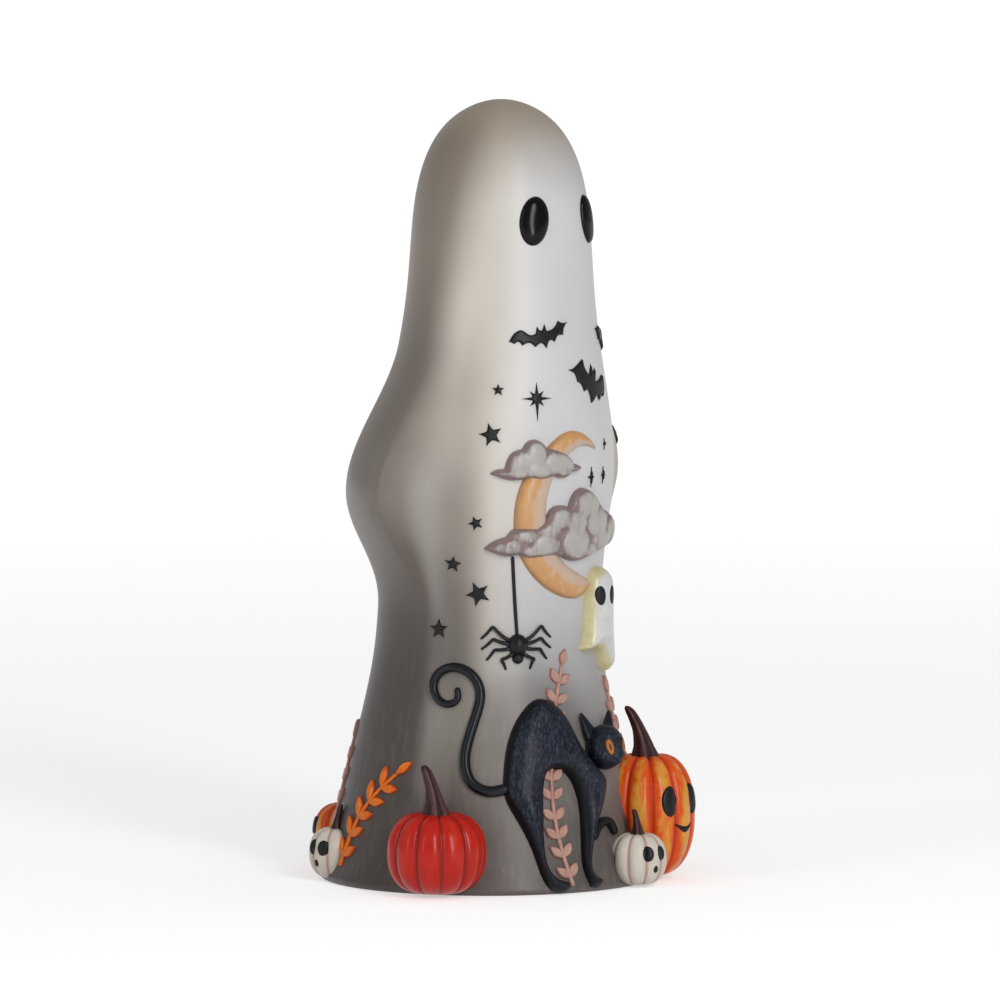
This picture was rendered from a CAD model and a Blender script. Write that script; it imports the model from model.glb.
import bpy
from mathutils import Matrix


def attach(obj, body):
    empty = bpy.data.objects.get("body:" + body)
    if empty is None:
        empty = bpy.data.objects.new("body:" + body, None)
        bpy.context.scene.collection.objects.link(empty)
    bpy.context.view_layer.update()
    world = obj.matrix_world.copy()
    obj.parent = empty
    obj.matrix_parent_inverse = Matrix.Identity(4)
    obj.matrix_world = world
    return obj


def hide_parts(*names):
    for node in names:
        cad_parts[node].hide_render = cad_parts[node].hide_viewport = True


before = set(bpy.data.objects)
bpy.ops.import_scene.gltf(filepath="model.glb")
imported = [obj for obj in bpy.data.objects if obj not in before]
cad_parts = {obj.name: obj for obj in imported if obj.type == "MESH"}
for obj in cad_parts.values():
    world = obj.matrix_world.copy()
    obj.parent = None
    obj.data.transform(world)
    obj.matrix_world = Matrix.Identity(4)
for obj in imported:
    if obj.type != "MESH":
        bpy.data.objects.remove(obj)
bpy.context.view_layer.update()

import math

import bpy
import numpy as np
from mathutils import Matrix, Vector, geometry
from mathutils.bvhtree import BVHTree

mm = 0.001  # shapes below are drawn in millimetres

# "around" is degrees about Z from the ghost's front, positive towards its left hand
# flat trims are drawn in a plane that faces one such angle: (across, height)


def splineThrough(points, count, startDir=None, endDir=None):
    # cubic spline through points, with free ends unless directions are given
    pts = np.array(points, float)
    n = len(pts)
    if n == 2:
        share = np.linspace(0, 1, count)[:, None]
        return pts[0] * (1 - share) + pts[1] * share
    gaps = np.linalg.norm(np.diff(pts, axis=0), axis=1)
    knots = np.concatenate([[0], np.cumsum(gaps)])
    system = np.zeros((n, n))
    right = np.zeros_like(pts)
    for i in range(1, n - 1):
        a, b = gaps[i - 1], gaps[i]
        system[i, i - 1:i + 2] = 1 / a, 2 * (1 / a + 1 / b), 1 / b
        right[i] = 3 * ((pts[i] - pts[i - 1]) / a ** 2 + (pts[i + 1] - pts[i]) / b ** 2)
    for end, near, direction in ((0, 1, startDir), (n - 1, n - 2, endDir)):
        if direction is None:
            first = min(end, near)
            system[end, end], system[end, near] = 2, 1
            right[end] = 3 * (pts[first + 1] - pts[first]) / gaps[first]
        else:
            system[end, end] = 1
            right[end] = direction
    slopes = np.linalg.solve(system, right)
    at = np.linspace(0, knots[-1], count)
    span = np.clip(np.searchsorted(knots, at, side="right") - 1, 0, n - 2)
    h = gaps[span][:, None]
    t = ((at - knots[span]) / gaps[span])[:, None]
    return ((2 * t ** 3 - 3 * t ** 2 + 1) * pts[span] + (t ** 3 - 2 * t ** 2 + t) * h * slopes[span]
            + (3 * t ** 2 - 2 * t ** 3) * pts[span + 1] + (t ** 3 - t ** 2) * h * slopes[span + 1])


def smoothStep(value):
    t = np.clip(value, 0, 1)
    return t * t * (3 - 2 * t)


# body form, the same sizes as the casting
bodyForm = {
    "skirt": 118.0, "torso": 101.0, "head": 80.6,
    "footRadius": 65.3, "waistRadius": 42.9, "chestRadius": 43.4, "neckRadius": 36.8, "headRadius": 34.6,
    "lean": 7.0,
    "armReach": 24.5, "armAround": 88.0, "armFront": 20.0, "armBack": 58.0, "armAbove": 55.0,
    "armBelow": 46.0, "armCrease": 1.2, "armRise": {-1: 33.0, 1: 38.0},
    "columns": 256, "rows": 220,
    "footRound": 1.6, "ventRadius": 1.5, "ventBack": 24.0, "ventDepth": 5.0,
}
waist = bodyForm["skirt"]
neck = waist + bodyForm["torso"]
crown = neck + bodyForm["head"]


def bodySilhouette():
    form = bodyForm
    flare = form["footRadius"] - form["waistRadius"]
    points = [
        (form["footRadius"], 0), (form["waistRadius"] + 0.43 * flare, 0.40 * waist),
        (form["waistRadius"] + 0.05 * flare, 0.745 * waist), (form["waistRadius"], waist),
        (form["chestRadius"], waist + 0.34 * form["torso"]),
        (0.73 * form["chestRadius"] + 0.27 * form["neckRadius"], waist + 0.67 * form["torso"]),
        (form["neckRadius"], neck), (form["headRadius"], neck + 0.33 * form["head"]),
        (0.90 * form["headRadius"], neck + 0.64 * form["head"]),
        (0.57 * form["headRadius"], neck + 0.90 * form["head"]), (0, crown),
    ]
    return splineThrough(points, 3000, (-0.35, 0.94), (-1.0, 0.0))


silhouette = bodySilhouette()


def armSwell(around, height):
    form = bodyForm
    swell = 0
    for side, rise in form["armRise"].items():
        behind = (side * around - form["armAround"] + 180) % 360 - 180
        spread = np.where(behind > 0, form["armBack"], form["armFront"])
        above = height - waist - rise
        share = np.clip(above / np.where(above > 0, form["armAbove"], form["armBelow"]), -1, 1)
        fade = np.exp(-np.abs(behind / spread) ** form["armCrease"])
        swell = swell + fade * 0.5 * (1 + np.cos(np.pi * share))
    return form["armReach"] * swell


def bodyAt(around, height, radius=None):
    around, height = np.broadcast_arrays(np.asarray(around, float), np.asarray(height, float))
    if radius is None:
        radius = np.interp(height, silhouette[:, 1], silhouette[:, 0])
    out = radius + armSwell(around, height) * smoothStep(radius / bodyForm["neckRadius"])
    lean = bodyForm["lean"] * smoothStep((height - 0.5 * waist) / (neck - 0.25 * waist))
    angle = np.radians(around)
    return np.stack([out * np.sin(angle), -out * np.cos(angle) - lean, height + 0 * out], -1)


def bodyNormal(around, height):
    across = bodyAt(around + 0.3, height) - bodyAt(around - 0.3, height)
    up = bodyAt(around, height + 0.3) - bodyAt(around, height - 0.3)
    normal = np.cross(across, up)
    return normal / np.linalg.norm(normal, axis=-1, keepdims=True)


def outwardOf(facing):
    angle = math.radians(facing)
    return np.array([math.sin(angle), -math.cos(angle), 0.0])


def acrossOf(facing):
    angle = math.radians(facing)
    return np.array([math.cos(angle), math.sin(angle), 0.0])


def onBody(facing):
    # returns a function that lays (across, height) on the body, seen from one angle
    side = acrossOf(facing)

    def place(flat):
        across, height = flat[:, 0], flat[:, 1]
        radius = np.interp(height, silhouette[:, 1], silhouette[:, 0])
        around = facing + np.degrees(np.arcsin(np.clip(across / (radius + 4), -0.97, 0.97)))
        for _ in range(14):  # walks round the body until the spot lies as far across as asked
            miss = bodyAt(around, height) @ side - across
            slope = (bodyAt(around + 0.2, height) @ side - bodyAt(around - 0.2, height) @ side) / 0.4
            around = around - np.clip(miss / np.maximum(slope, 0.15), -6, 6)
        return bodyAt(around, height), bodyNormal(around, height)

    return place


# mesh helpers; parts are (verts, faces, values), and the glazes read the values


def turnsOf(sides):
    return [2 * math.pi * k / sides for k in range(sides)]


def ringFaces(rings, sides, closed=False, downward=False):
    # faces between rings of points, with both ends closed if asked
    faces = []
    for r in range(rings - 1):
        for k in range(sides):
            a, b = r * sides + k, r * sides + (k + 1) % sides
            faces.append((a, a + sides, b + sides, b) if downward else (a, b, b + sides, a + sides))
    if closed:
        faces += [tuple(range(sides - 1, -1, -1)), tuple(range((rings - 1) * sides, rings * sides))]
    return faces


def ringParts(verts, rises, sides, closed=False, downward=False):
    values = {"rise": np.array(rises), "rim": np.array(rises)}
    return np.array(verts), ringFaces(len(verts) // sides, sides, closed, downward), values


def joinParts(pieces):
    verts, faces, values = [], [], {}
    start = 0
    for partVerts, partFaces, partValues in pieces:
        verts.append(np.asarray(partVerts))
        faces += [tuple(i + start for i in f) for f in partFaces]
        for key, data in partValues.items():
            values.setdefault(key, []).append(np.asarray(data))
        start += len(partVerts)
    return np.concatenate(verts), faces, {k: np.concatenate(v) for k, v in values.items()}


def finishMesh(mesh, values):
    # smooth faces, and the values that the glazes read
    mesh.polygons.foreach_set("use_smooth", [True] * len(mesh.polygons))
    for key, data in values.items():
        attribute = mesh.attributes.new(key, "FLOAT", "POINT")
        attribute.data.foreach_set("value", np.asarray(data, np.float32))


def makePiece(name, parts, glaze):
    verts, faces, values = parts
    mesh = bpy.data.meshes.new(name)
    mesh.from_pydata([tuple(v) for v in np.asarray(verts) * mm], [], [tuple(f) for f in faces])
    mesh.validate()
    finishMesh(mesh, values)
    mesh.materials.append(glazes[glaze])
    piece = bpy.data.objects.new(name, mesh)
    bpy.context.scene.collection.objects.link(piece)
    return piece


def standFor(piece, node):
    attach(piece, "root")
    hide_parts(node)
    return piece


def setPiece(name, parts, glaze, node):
    return standFor(makePiece(name, parts, glaze), node)


def remesh(piece, size, rounds):
    # fuses overlapping forms into one skin and softens it
    fuse = piece.modifiers.new("fuse", "REMESH")
    fuse.mode = "VOXEL"
    fuse.voxel_size = size * mm
    soften = piece.modifiers.new("soften", "SMOOTH")
    soften.iterations = rounds
    bpy.context.view_layer.update()
    graph = bpy.context.evaluated_depsgraph_get()
    mesh = bpy.data.meshes.new_from_object(piece.evaluated_get(graph))
    old = piece.data
    piece.modifiers.clear()
    piece.data = mesh
    bpy.data.meshes.remove(old)


def outlineOf(*stretches, step):
    # each stretch is a smooth curve on from the end of the one before, and they meet at corners
    loop = []
    for before, stretch in zip(stretches[-1:] + stretches[:-1], stretches):
        run = np.array([before[-1], *stretch], float)
        length = np.linalg.norm(np.diff(run, axis=0), axis=1).sum()
        loop.append(splineThrough(run, max(3, int(1.1 * length / step)))[:-1])
    return np.concatenate(loop)


def turned(flat, degrees):
    angle = math.radians(degrees)
    matrix = np.array([[math.cos(angle), math.sin(angle)], [-math.sin(angle), math.cos(angle)]])
    return np.asarray(flat, float) @ matrix


def ellipseOf(halfWidth, halfHeight, step, centre=(0, 0), tilt=0):
    count = max(24, int(math.pi * (halfWidth + halfHeight) / step))
    turn = np.linspace(0, 2 * np.pi, count, endpoint=False)
    flat = np.stack([halfWidth * np.cos(turn), halfHeight * np.sin(turn)], -1)
    return turned(flat, tilt) + np.array(centre)


def centred(loop, facing, height):
    # moves a loop so its origin lies on the body, straight ahead at one height
    spot = float(bodyAt(facing, height) @ acrossOf(facing))
    return loop + np.array([spot, height])


def edgeDistance(flat, loop):
    start, end = loop, np.roll(loop, -1, axis=0)
    run = end - start
    share = ((flat[:, None] - start[None]) * run[None]).sum(-1) / np.maximum((run ** 2).sum(-1), 1e-9)
    nearest = start[None] + np.clip(share, 0, 1)[..., None] * run[None]
    return np.linalg.norm(flat[:, None] - nearest, axis=-1).min(1)


def insideLoop(flat, loop):
    x, y = flat[:, 0][:, None], flat[:, 1][:, None]
    start, end = loop, np.roll(loop, -1, axis=0)
    above = (start[:, 1] > y) != (end[:, 1] > y)
    height = np.where(np.abs(end[:, 1] - start[:, 1]) < 1e-9, 1e-9, end[:, 1] - start[:, 1])
    crossing = x < (end[:, 0] - start[:, 0]) * (y - start[:, 1]) / height + start[:, 0]
    return (above & crossing).sum(1) % 2 == 1


def fillLoop(loop, step):
    # even triangles inside a closed outline, with each point's distance to the outline
    low, high = loop.min(0), loop.max(0)
    grid = []
    for i, y in enumerate(np.arange(low[1], high[1], step * 0.87)):
        row = np.arange(low[0] + (i % 2) * step / 2, high[0], step)
        grid.append(np.stack([row, np.full(len(row), y)], -1))
    grid = np.concatenate(grid)
    grid = grid[insideLoop(grid, loop)]
    grid = grid[edgeDistance(grid, loop) > 0.55 * step] if len(grid) else grid
    points = np.concatenate([loop, grid])
    count = len(loop)
    edges = [(i, (i + 1) % count) for i in range(count)]
    result = geometry.delaunay_2d_cdt([Vector(p) for p in points], edges, [list(range(count))], 1, 1e-5)
    flat = np.array([tuple(v) for v in result[0]])
    faces = []
    for a, b, c in result[2]:
        u, v = flat[b] - flat[a], flat[c] - flat[a]
        faces.append((a, b, c) if u[0] * v[1] - u[1] * v[0] > 0 else (a, c, b))
    return flat, faces, edgeDistance(flat, loop)


def pillow(distance, rounding, thickness):
    t = np.clip(distance / rounding, 0, 1)
    return thickness * np.sqrt(np.maximum(0, 1 - (1 - t) ** 2))


def domed(rounding, thickness):
    return lambda distance, flat: pillow(distance, rounding, thickness)


def reliefParts(loop, place, rise, step, sink=0.5, tint=None):
    # a modelled relief: rounded front, and a back bedded a little into what carries it
    flat, faces, distance = fillLoop(loop, step)
    base, normal = place(flat)
    height = rise(distance, flat)
    count = len(flat)
    edges = dict.fromkeys(edge for a, b, c in faces for edge in ((a, b), (b, c), (c, a)))
    skin = faces + [(c + count, b + count, a + count) for a, b, c in faces]
    skin += [(a, a + count, b + count, b) for a, b in edges if (b, a) not in edges]
    shade = distance if tint is None else tint(flat)
    values = {"rise": np.concatenate([height / max(float(height.max()), 1e-6), 0 * height]),
              "rim": np.concatenate([shade, 0 * shade])}
    return np.concatenate([base + normal * height[:, None], base - normal * sink]), skin, values


def tubeParts(points, radii, sides, normals):
    # a round bar through points with a radius at each, rounded off at both ends
    along = np.gradient(points, axis=0)
    along /= np.linalg.norm(along, axis=1, keepdims=True)
    ends = [(0.92, 0.38), (0.6, 0.8)]  # past the end and width, as shares of the radius
    last = len(points) - 1
    rings = [(0, -past, width) for past, width in ends] + [(i, 0, 1) for i in range(last + 1)]
    rings += [(last, past, width) for past, width in reversed(ends)]
    verts, rises = [], []
    for i, past, width in rings:
        middle = points[i] + along[i] * past * radii[i]
        side = np.cross(along[i], normals[i])
        side /= max(np.linalg.norm(side), 1e-9)
        up = np.cross(side, along[i])
        for turn in turnsOf(sides):
            verts.append(middle + radii[i] * width * (math.cos(turn) * side + math.sin(turn) * up))
            rises.append(0.5 + 0.5 * math.sin(turn))
    return ringParts(verts, rises, sides, closed=True)


def onPiece(piece, facing, centre):
    # lays (across, height) from a centre onto another piece, seen from one angle
    verts = [v.co.copy() for v in piece.data.vertices]
    tree = BVHTree.FromPolygons(verts, [tuple(p.vertices) for p in piece.data.polygons])
    side, outward, middle = acrossOf(facing), outwardOf(facing), np.array(centre, float)
    away = 60.0  # rays start well outside the piece

    def place(flat):
        points, normals = [], []
        for across, height in flat:
            start = middle + side * across + np.array([0, 0, height]) + outward * away
            hit, normal, _, _ = tree.ray_cast(Vector(start * mm), Vector(-outward))
            if hit is None:
                hit, normal, _, _ = tree.find_nearest(Vector((start - outward * away) * mm))
            points.append(np.array(hit) / mm)
            normals.append(np.array(normal))
        return np.array(points), np.array(normals)

    return place


# eyes and mouths of the small figures: rounding of the edge, height of the dome, mesh step, depth of the bed
marks = {
    "ghost": {"rounding": 1.2, "dome": 0.4, "step": 0.3, "sink": 0.3},
    "cat": {"rounding": 1.0, "dome": 0.45, "step": 0.2, "sink": 0.3},
    "pumpkin": {"rounding": 1.0, "dome": 0.5, "step": 0.35, "sink": 0.4},
}


def markParts(loops, place, form):
    rise = domed(form["rounding"], form["dome"])
    return joinParts([reliefParts(loop, place, rise, form["step"], form["sink"]) for loop in loops])


# shader helpers


class Nodes:
    # short way to add and link shader nodes
    def __init__(self, tree):
        self.tree = tree

    def add(self, kind, **values):
        node = self.tree.nodes.new(kind)
        for key, value in values.items():
            setattr(node, key, value)
        return node

    def link(self, source, target):
        self.tree.links.new(source, target)

    def put(self, socket, value):
        if hasattr(value, "is_linked"):
            self.link(value, socket)
        else:
            socket.default_value = value

    def math(self, operation, first, second=None):
        node = self.add("ShaderNodeMath", operation=operation)
        self.put(node.inputs[0], first)
        if second is not None:
            self.put(node.inputs[1], second)
        return node.outputs[0]

    def times(self, *factors):
        product = factors[0]
        for factor in factors[1:]:
            product = self.math("MULTIPLY", product, factor)
        return product

    def blend(self, share, first, second):
        node = self.add("ShaderNodeMix", data_type="RGBA")
        for index, value in ((0, share), (6, first), (7, second)):
            self.put(node.inputs[index], value)
        return node.outputs[2]

    def ramp(self, value, low, high, toLow=0.0, toHigh=1.0):
        node = self.add("ShaderNodeMapRange", interpolation_type="SMOOTHSTEP")
        self.put(node.inputs["Value"], value)
        for key, number in (("From Min", low), ("From Max", high), ("To Min", toLow), ("To Max", toHigh)):
            node.inputs[key].default_value = number
        return node.outputs["Result"]

    def noise(self, scale, detail=3.0, rough=0.55, vector=None):
        node = self.add("ShaderNodeTexNoise")
        for key, value in (("Scale", scale), ("Detail", detail), ("Roughness", rough)):
            self.put(node.inputs[key], value)
        self.link(vector or self.place(), node.inputs["Vector"])
        return node.outputs["Fac"]

    def wander(self, scale, detail=3.0):  # noise about zero
        return self.math("SUBTRACT", self.noise(scale, detail), 0.5)

    def place(self):
        return self.add("ShaderNodeTexCoord").outputs["Object"]

    def value(self, name):
        return self.add("ShaderNodeAttribute", attribute_name=name).outputs["Fac"]


def colour(red, green, blue):
    # colours are written as seen, 0 to 255, and turned linear here
    def linear(c):
        c = c / 255
        return c / 12.92 if c <= 0.04045 else ((c + 0.055) / 1.055) ** 2.4
    return (linear(red), linear(green), linear(blue), 1.0)


def newGroup(name, inputs, outputs):
    group = bpy.data.node_groups.new(name, "ShaderNodeTree")
    for title, kind, default in inputs:
        socket = group.interface.new_socket(title, in_out="INPUT", socket_type=kind)
        socket.default_value = default
    for title, kind in outputs:
        group.interface.new_socket(title, in_out="OUTPUT", socket_type=kind)
    nodes = Nodes(group)
    return group, nodes, nodes.add("NodeGroupInput").outputs, nodes.add("NodeGroupOutput").inputs


def brushedGlazeGroup():
    # uneven glaze: blotches and a fine orange peel
    group, n, given, out = newGroup(
        "brushedGlaze",
        [("Colour", "NodeSocketColor", (0.8, 0.8, 0.8, 1)), ("Blotch", "NodeSocketFloat", 0.15),
         ("Scale", "NodeSocketFloat", 120.0), ("Roughness", "NodeSocketFloat", 0.3)],
        [("Colour", "NodeSocketColor"), ("Roughness", "NodeSocketFloat"), ("Height", "NodeSocketFloat")])
    coarse = n.noise(given["Scale"], 4.0, 0.5)
    shift = n.times(n.math("SUBTRACT", coarse, 0.5), given["Blotch"])
    bright = n.add("ShaderNodeHueSaturation")
    n.link(n.math("ADD", 1.0, n.times(shift, 2.0)), bright.inputs["Value"])
    n.link(given["Colour"], bright.inputs["Color"])
    n.link(bright.outputs["Color"], out["Colour"])
    n.link(n.math("ADD", given["Roughness"], n.times(shift, 0.5)), out["Roughness"])
    n.link(n.math("ADD", n.times(n.noise(1400.0, 2.0), 0.35), coarse), out["Height"])
    return group


def dryBrushGroup():
    # paler paint dragged over the raised parts in streaks
    group, n, given, out = newGroup(
        "dryBrush",
        [("Under", "NodeSocketColor", (0.1, 0.1, 0.1, 1)), ("Over", "NodeSocketColor", (0.8, 0.8, 0.8, 1)),
         ("Raised", "NodeSocketFloat", 0.5), ("Streak", "NodeSocketFloat", 300.0),
         ("Cover", "NodeSocketFloat", 0.5)],
        [("Colour", "NodeSocketColor")])
    stretch = n.add("ShaderNodeMapping")
    stretch.inputs["Scale"].default_value = (1.0, 1.0, 0.35)
    n.link(n.place(), stretch.inputs["Vector"])
    streak = n.noise(given["Streak"], 6.0, 0.7, stretch.outputs["Vector"])
    drag = n.math("ADD", streak, n.times(given["Raised"], 0.5))
    mask = n.ramp(n.math("ADD", drag, n.math("SUBTRACT", given["Cover"], 1.0)), 0.12, 0.42)
    n.link(n.blend(mask, given["Under"], given["Over"]), out["Colour"])
    return group


brushedGlaze = brushedGlazeGroup()
dryBrush = dryBrushGroup()


def newMaterial(name, coat=0.0, coatRoughness=0.1, specular=0.5):
    material = bpy.data.materials.new(name)
    material.use_nodes = True
    shader = material.node_tree.nodes["Principled BSDF"]
    shader.inputs["Coat Weight"].default_value = coat
    shader.inputs["Coat Roughness"].default_value = coatRoughness
    shader.inputs["Specular IOR Level"].default_value = specular
    return material, Nodes(material.node_tree), shader


def finishGlaze(nodes, shader, paint, blotch, scale, roughness, bump):
    glaze = nodes.add("ShaderNodeGroup", node_tree=brushedGlaze)
    for key, value in (("Colour", paint), ("Blotch", blotch), ("Scale", scale), ("Roughness", roughness)):
        nodes.put(glaze.inputs[key], value)
    nodes.link(glaze.outputs["Colour"], shader.inputs["Base Color"])
    nodes.link(glaze.outputs["Roughness"], shader.inputs["Roughness"])
    relief = nodes.add("ShaderNodeBump")
    relief.inputs["Strength"].default_value = bump
    relief.inputs["Distance"].default_value = 0.2 * mm
    nodes.link(glaze.outputs["Height"], relief.inputs["Height"])
    nodes.link(relief.outputs["Normal"], shader.inputs["Normal"])


def brushOver(nodes, under, over, raised, streak, cover):
    brush = nodes.add("ShaderNodeGroup", node_tree=dryBrush)
    given = {"Under": under, "Over": over, "Raised": raised, "Streak": streak, "Cover": cover}
    for key, value in given.items():
        nodes.put(brush.inputs[key], value)
    return brush.outputs["Colour"]


def fromRim(nodes, start, end):
    # 0 at the rim of a piece, 1 inside it, a little uneven
    return nodes.ramp(nodes.math("ADD", nodes.value("rim"), nodes.wander(500.0)), start, end)


bodyPaint = {
    "white": colour(223, 223, 225), "cream": colour(224, 217, 206), "crown": colour(168, 154, 137),
    "headShade": colour(137, 124, 110), "upperShade": colour(120, 109, 99), "lowerShade": colour(76, 68, 65),
    "skirt": colour(90, 79, 73), "headTurn": colour(190, 184, 176), "backTurn": colour(86, 86, 95),
    "speck": colour(74, 66, 58), "roughness": 0.40,
    "sideCover": 0.90, "skirtCover": 0.93, "lowSideCover": 0.6, "markCover": 0.06, "speckCover": 0.6,
    "haloAround": -24.0, "haloHeight": 64.0, "haloReach": (29.0, 10.0), "haloCover": 0.5,
    "angleDrift": 6.875, "skirtDrift": 30.0, "haloDrift": 12.0,
}
# airbrushed patches: between angles from the front in degrees, between heights in mm, how well they cover
bodyPatches = {
    "cream": {"turns": [(22, 56)], "heights": [], "cover": 1.0},
    "crown": {"turns": [], "heights": [(255, 297)], "cover": 0.85},
    "chest": {"turns": [(44, 66)], "heights": [(225, 185)], "cover": 0.38},
    "fold": {"turns": [(46, 66)], "heights": [(182, 152), (58, 92)], "cover": 1.0},
    "crease": {"turns": [(68, 76), (83, 77)], "heights": [(166, 150), (96, 116)], "cover": 0.18},
    "sleeve": {"turns": [(82, 94)], "heights": [(180, 158), (120, 142)], "cover": 0.08},
    "tip": {"turns": [], "heights": [(282, 299)], "cover": 0.85},
    "foot": {"turns": [], "heights": [(45, 4)], "cover": 0.40},
    "behind": {"turns": [(98, 128)], "heights": [], "cover": 0.36},
}


def bodyGlaze():
    # white front, airbrushed shade on the crown, round the back and down the skirt
    material, n, shader = newMaterial("bodyGlaze", coat=0.05, coatRoughness=0.30)
    paints = bodyPaint
    where = n.add("ShaderNodeSeparateXYZ")
    n.link(n.place(), where.inputs[0])
    x, y, z = where.outputs
    height = n.math("DIVIDE", z, mm)
    drift = n.wander(20.0, 2.0)

    def rising(low, high, toLow=0.0, toHigh=1.0):
        return n.ramp(height, low, high, toLow, toHigh)

    front = n.times(n.math("ADD", y, rising(60, 250, 0.0, bodyForm["lean"] * mm)), -1.0)
    angle = n.math("DEGREES", n.math("ABSOLUTE", n.math("ARCTAN2", x, front)))
    angle = n.math("ADD", angle, n.times(drift, paints["angleDrift"]))

    def patch(name):
        form = bodyPatches[name]
        turns = [n.ramp(angle, *turn) for turn in form["turns"]]
        return n.times(form["cover"], *turns, *[rising(*span) for span in form["heights"]])

    # the side shade begins near the eyes on the head, and sharply at the crease of the sleeve lower down
    start = n.math("SUBTRACT", rising(135, 172, 75, 69), rising(200, 285, 0, 25))
    spread = n.math("ADD", rising(128, 172, 9, 24), rising(180, 250, 0, 14))
    side = n.ramp(n.math("DIVIDE", n.math("SUBTRACT", angle, start), spread), 0.0, 1.0)
    low = n.ramp(n.math("ADD", height, n.times(drift, paints["skirtDrift"])), 146, 14)
    shade = n.blend(rising(70, 150), paints["lowerShade"], paints["upperShade"])
    shade = n.blend(rising(200, 245), shade, paints["headShade"])
    turn = n.blend(rising(135, 175), paints["backTurn"], paints["headTurn"])

    halo = n.add("ShaderNodeVectorMath", operation="DISTANCE")  # a darker haze behind the cat
    n.link(n.place(), halo.inputs[0])
    halo.inputs[1].default_value = bodyAt(paints["haloAround"], paints["haloHeight"]) * mm
    reach = n.math("DIVIDE", halo.outputs["Value"], mm)
    halo = n.ramp(n.math("ADD", reach, n.times(drift, paints["haloDrift"])), *paints["haloReach"])

    brush = n.add("ShaderNodeMapping")  # upright brush marks on the skirt
    brush.inputs["Scale"].default_value = (1.0, 1.0, 0.05)
    n.link(n.place(), brush.inputs["Vector"])
    marks = n.ramp(n.noise(420.0, 4.0, 0.6, brush.outputs["Vector"]), 0.45, 0.75)

    specks = n.add("ShaderNodeTexVoronoi")
    specks.inputs["Scale"].default_value = 60.0
    n.link(n.place(), specks.inputs["Vector"])
    few = n.math("GREATER_THAN", n.math("FRACT", n.times(specks.outputs["Color"], 7.0)), 0.74)
    dots = n.times(n.ramp(specks.outputs["Distance"], 0.017, 0.009), few)

    paint = paints["white"]
    for share, over in (
            (patch("cream"), paints["cream"]), (patch("crown"), paints["crown"]), (patch("chest"), shade),
            (n.times(patch("fold"), rising(108, 136, 0.75, 0.58)), shade),
            (n.times(side, paints["sideCover"]), shade),
            (n.math("ADD", patch("crease"), patch("sleeve")), paints["white"]),
            (patch("tip"), paints["crown"]), (n.times(low, paints["skirtCover"]), paints["skirt"]),
            (n.times(side, low, paints["lowSideCover"]), paints["lowerShade"]),
            (n.times(halo, paints["haloCover"]), paints["skirt"]),
            (patch("foot"), paints["lowerShade"]), (patch("behind"), turn),
            (n.times(marks, low, paints["markCover"]), paints["white"]),
            (n.times(dots, paints["speckCover"]), paints["speck"])):
        paint = n.blend(share, paint, over)
    finishGlaze(n, shader, paint, 0.04, 60.0, paints["roughness"], 0.06)
    return material


def plainGlaze(name, paint, roughness, coat, specular, blotch=0.25):
    material, n, shader = newMaterial(name, coat, 0.08, specular)
    finishGlaze(n, shader, paint, blotch, 260.0, roughness, 0.2)
    return material


def rimmedGlaze(name, face, rim, rimEnd, rimStart=0.0, roughness=0.3, coat=0.3, over=None, cover=0.34,
                specular=0.5):
    # one colour on the face, another towards the rim, and dry brushing on top
    material, n, shader = newMaterial(name, coat, 0.15, specular)
    paint = n.blend(fromRim(n, rimStart, rimEnd), rim, face)
    if over:
        paint = brushOver(n, paint, over, n.value("rise"), 420.0, cover)
    finishGlaze(n, shader, paint, 0.16, 300.0, roughness, 0.25)
    return material


def pumpkinGlaze(name, crest, groove, streak, cover=0.28, grooveWidth=0.45):
    material, n, shader = newMaterial(name, coat=0.12, coatRoughness=0.08, specular=0.3)
    rib = n.value("rise")
    paint = n.blend(n.ramp(rib, 0.04, grooveWidth), groove, crest)
    paint = brushOver(n, paint, streak, rib, 200.0, cover)
    finishGlaze(n, shader, paint, 0.14, 140.0, 0.3, 0.2)
    return material


catPaint = {
    "edge": colour(7, 8, 12), "fur": colour(15, 18, 29), "streak": colour(68, 76, 98),
    "lid": colour(40, 28, 26), "amber": colour(188, 110, 44), "slit": colour(34, 22, 20),
}


def catGlaze():
    # blue-black, with fine steel-blue streaks dragged over it
    material, n, shader = newMaterial("catGlaze", specular=0.26)
    inward = fromRim(n, 0.0, 2.4)
    paint = n.blend(inward, catPaint["edge"], catPaint["fur"])
    raised = n.times(n.ramp(n.value("rise"), 0.1, 1.0, 0.55, 0.80), n.ramp(inward, 0.2, 0.9))
    paint = brushOver(n, paint, catPaint["streak"], raised, 1250.0, 0.30)
    finishGlaze(n, shader, paint, 0.16, 300.0, 0.42, 0.25)
    return material


def catEyeGlaze():
    # amber with a dark lid line and an upright slit
    material, n, shader = newMaterial("amberGlaze", specular=0.3)
    inward = n.value("rim")
    paint = n.blend(n.ramp(inward, 0.2, 1.0), catPaint["lid"], catPaint["amber"])
    paint = n.blend(n.ramp(inward, 1.34, 1.58), paint, catPaint["slit"])
    finishGlaze(n, shader, paint, 0.3, 420.0, 0.45, 0.2)
    return material


moonPaint = {
    "outer": colour(214, 158, 100), "inner": colour(213, 184, 164), "rim": colour(168, 126, 84),
    "brushed": colour(224, 190, 150),
}


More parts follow.
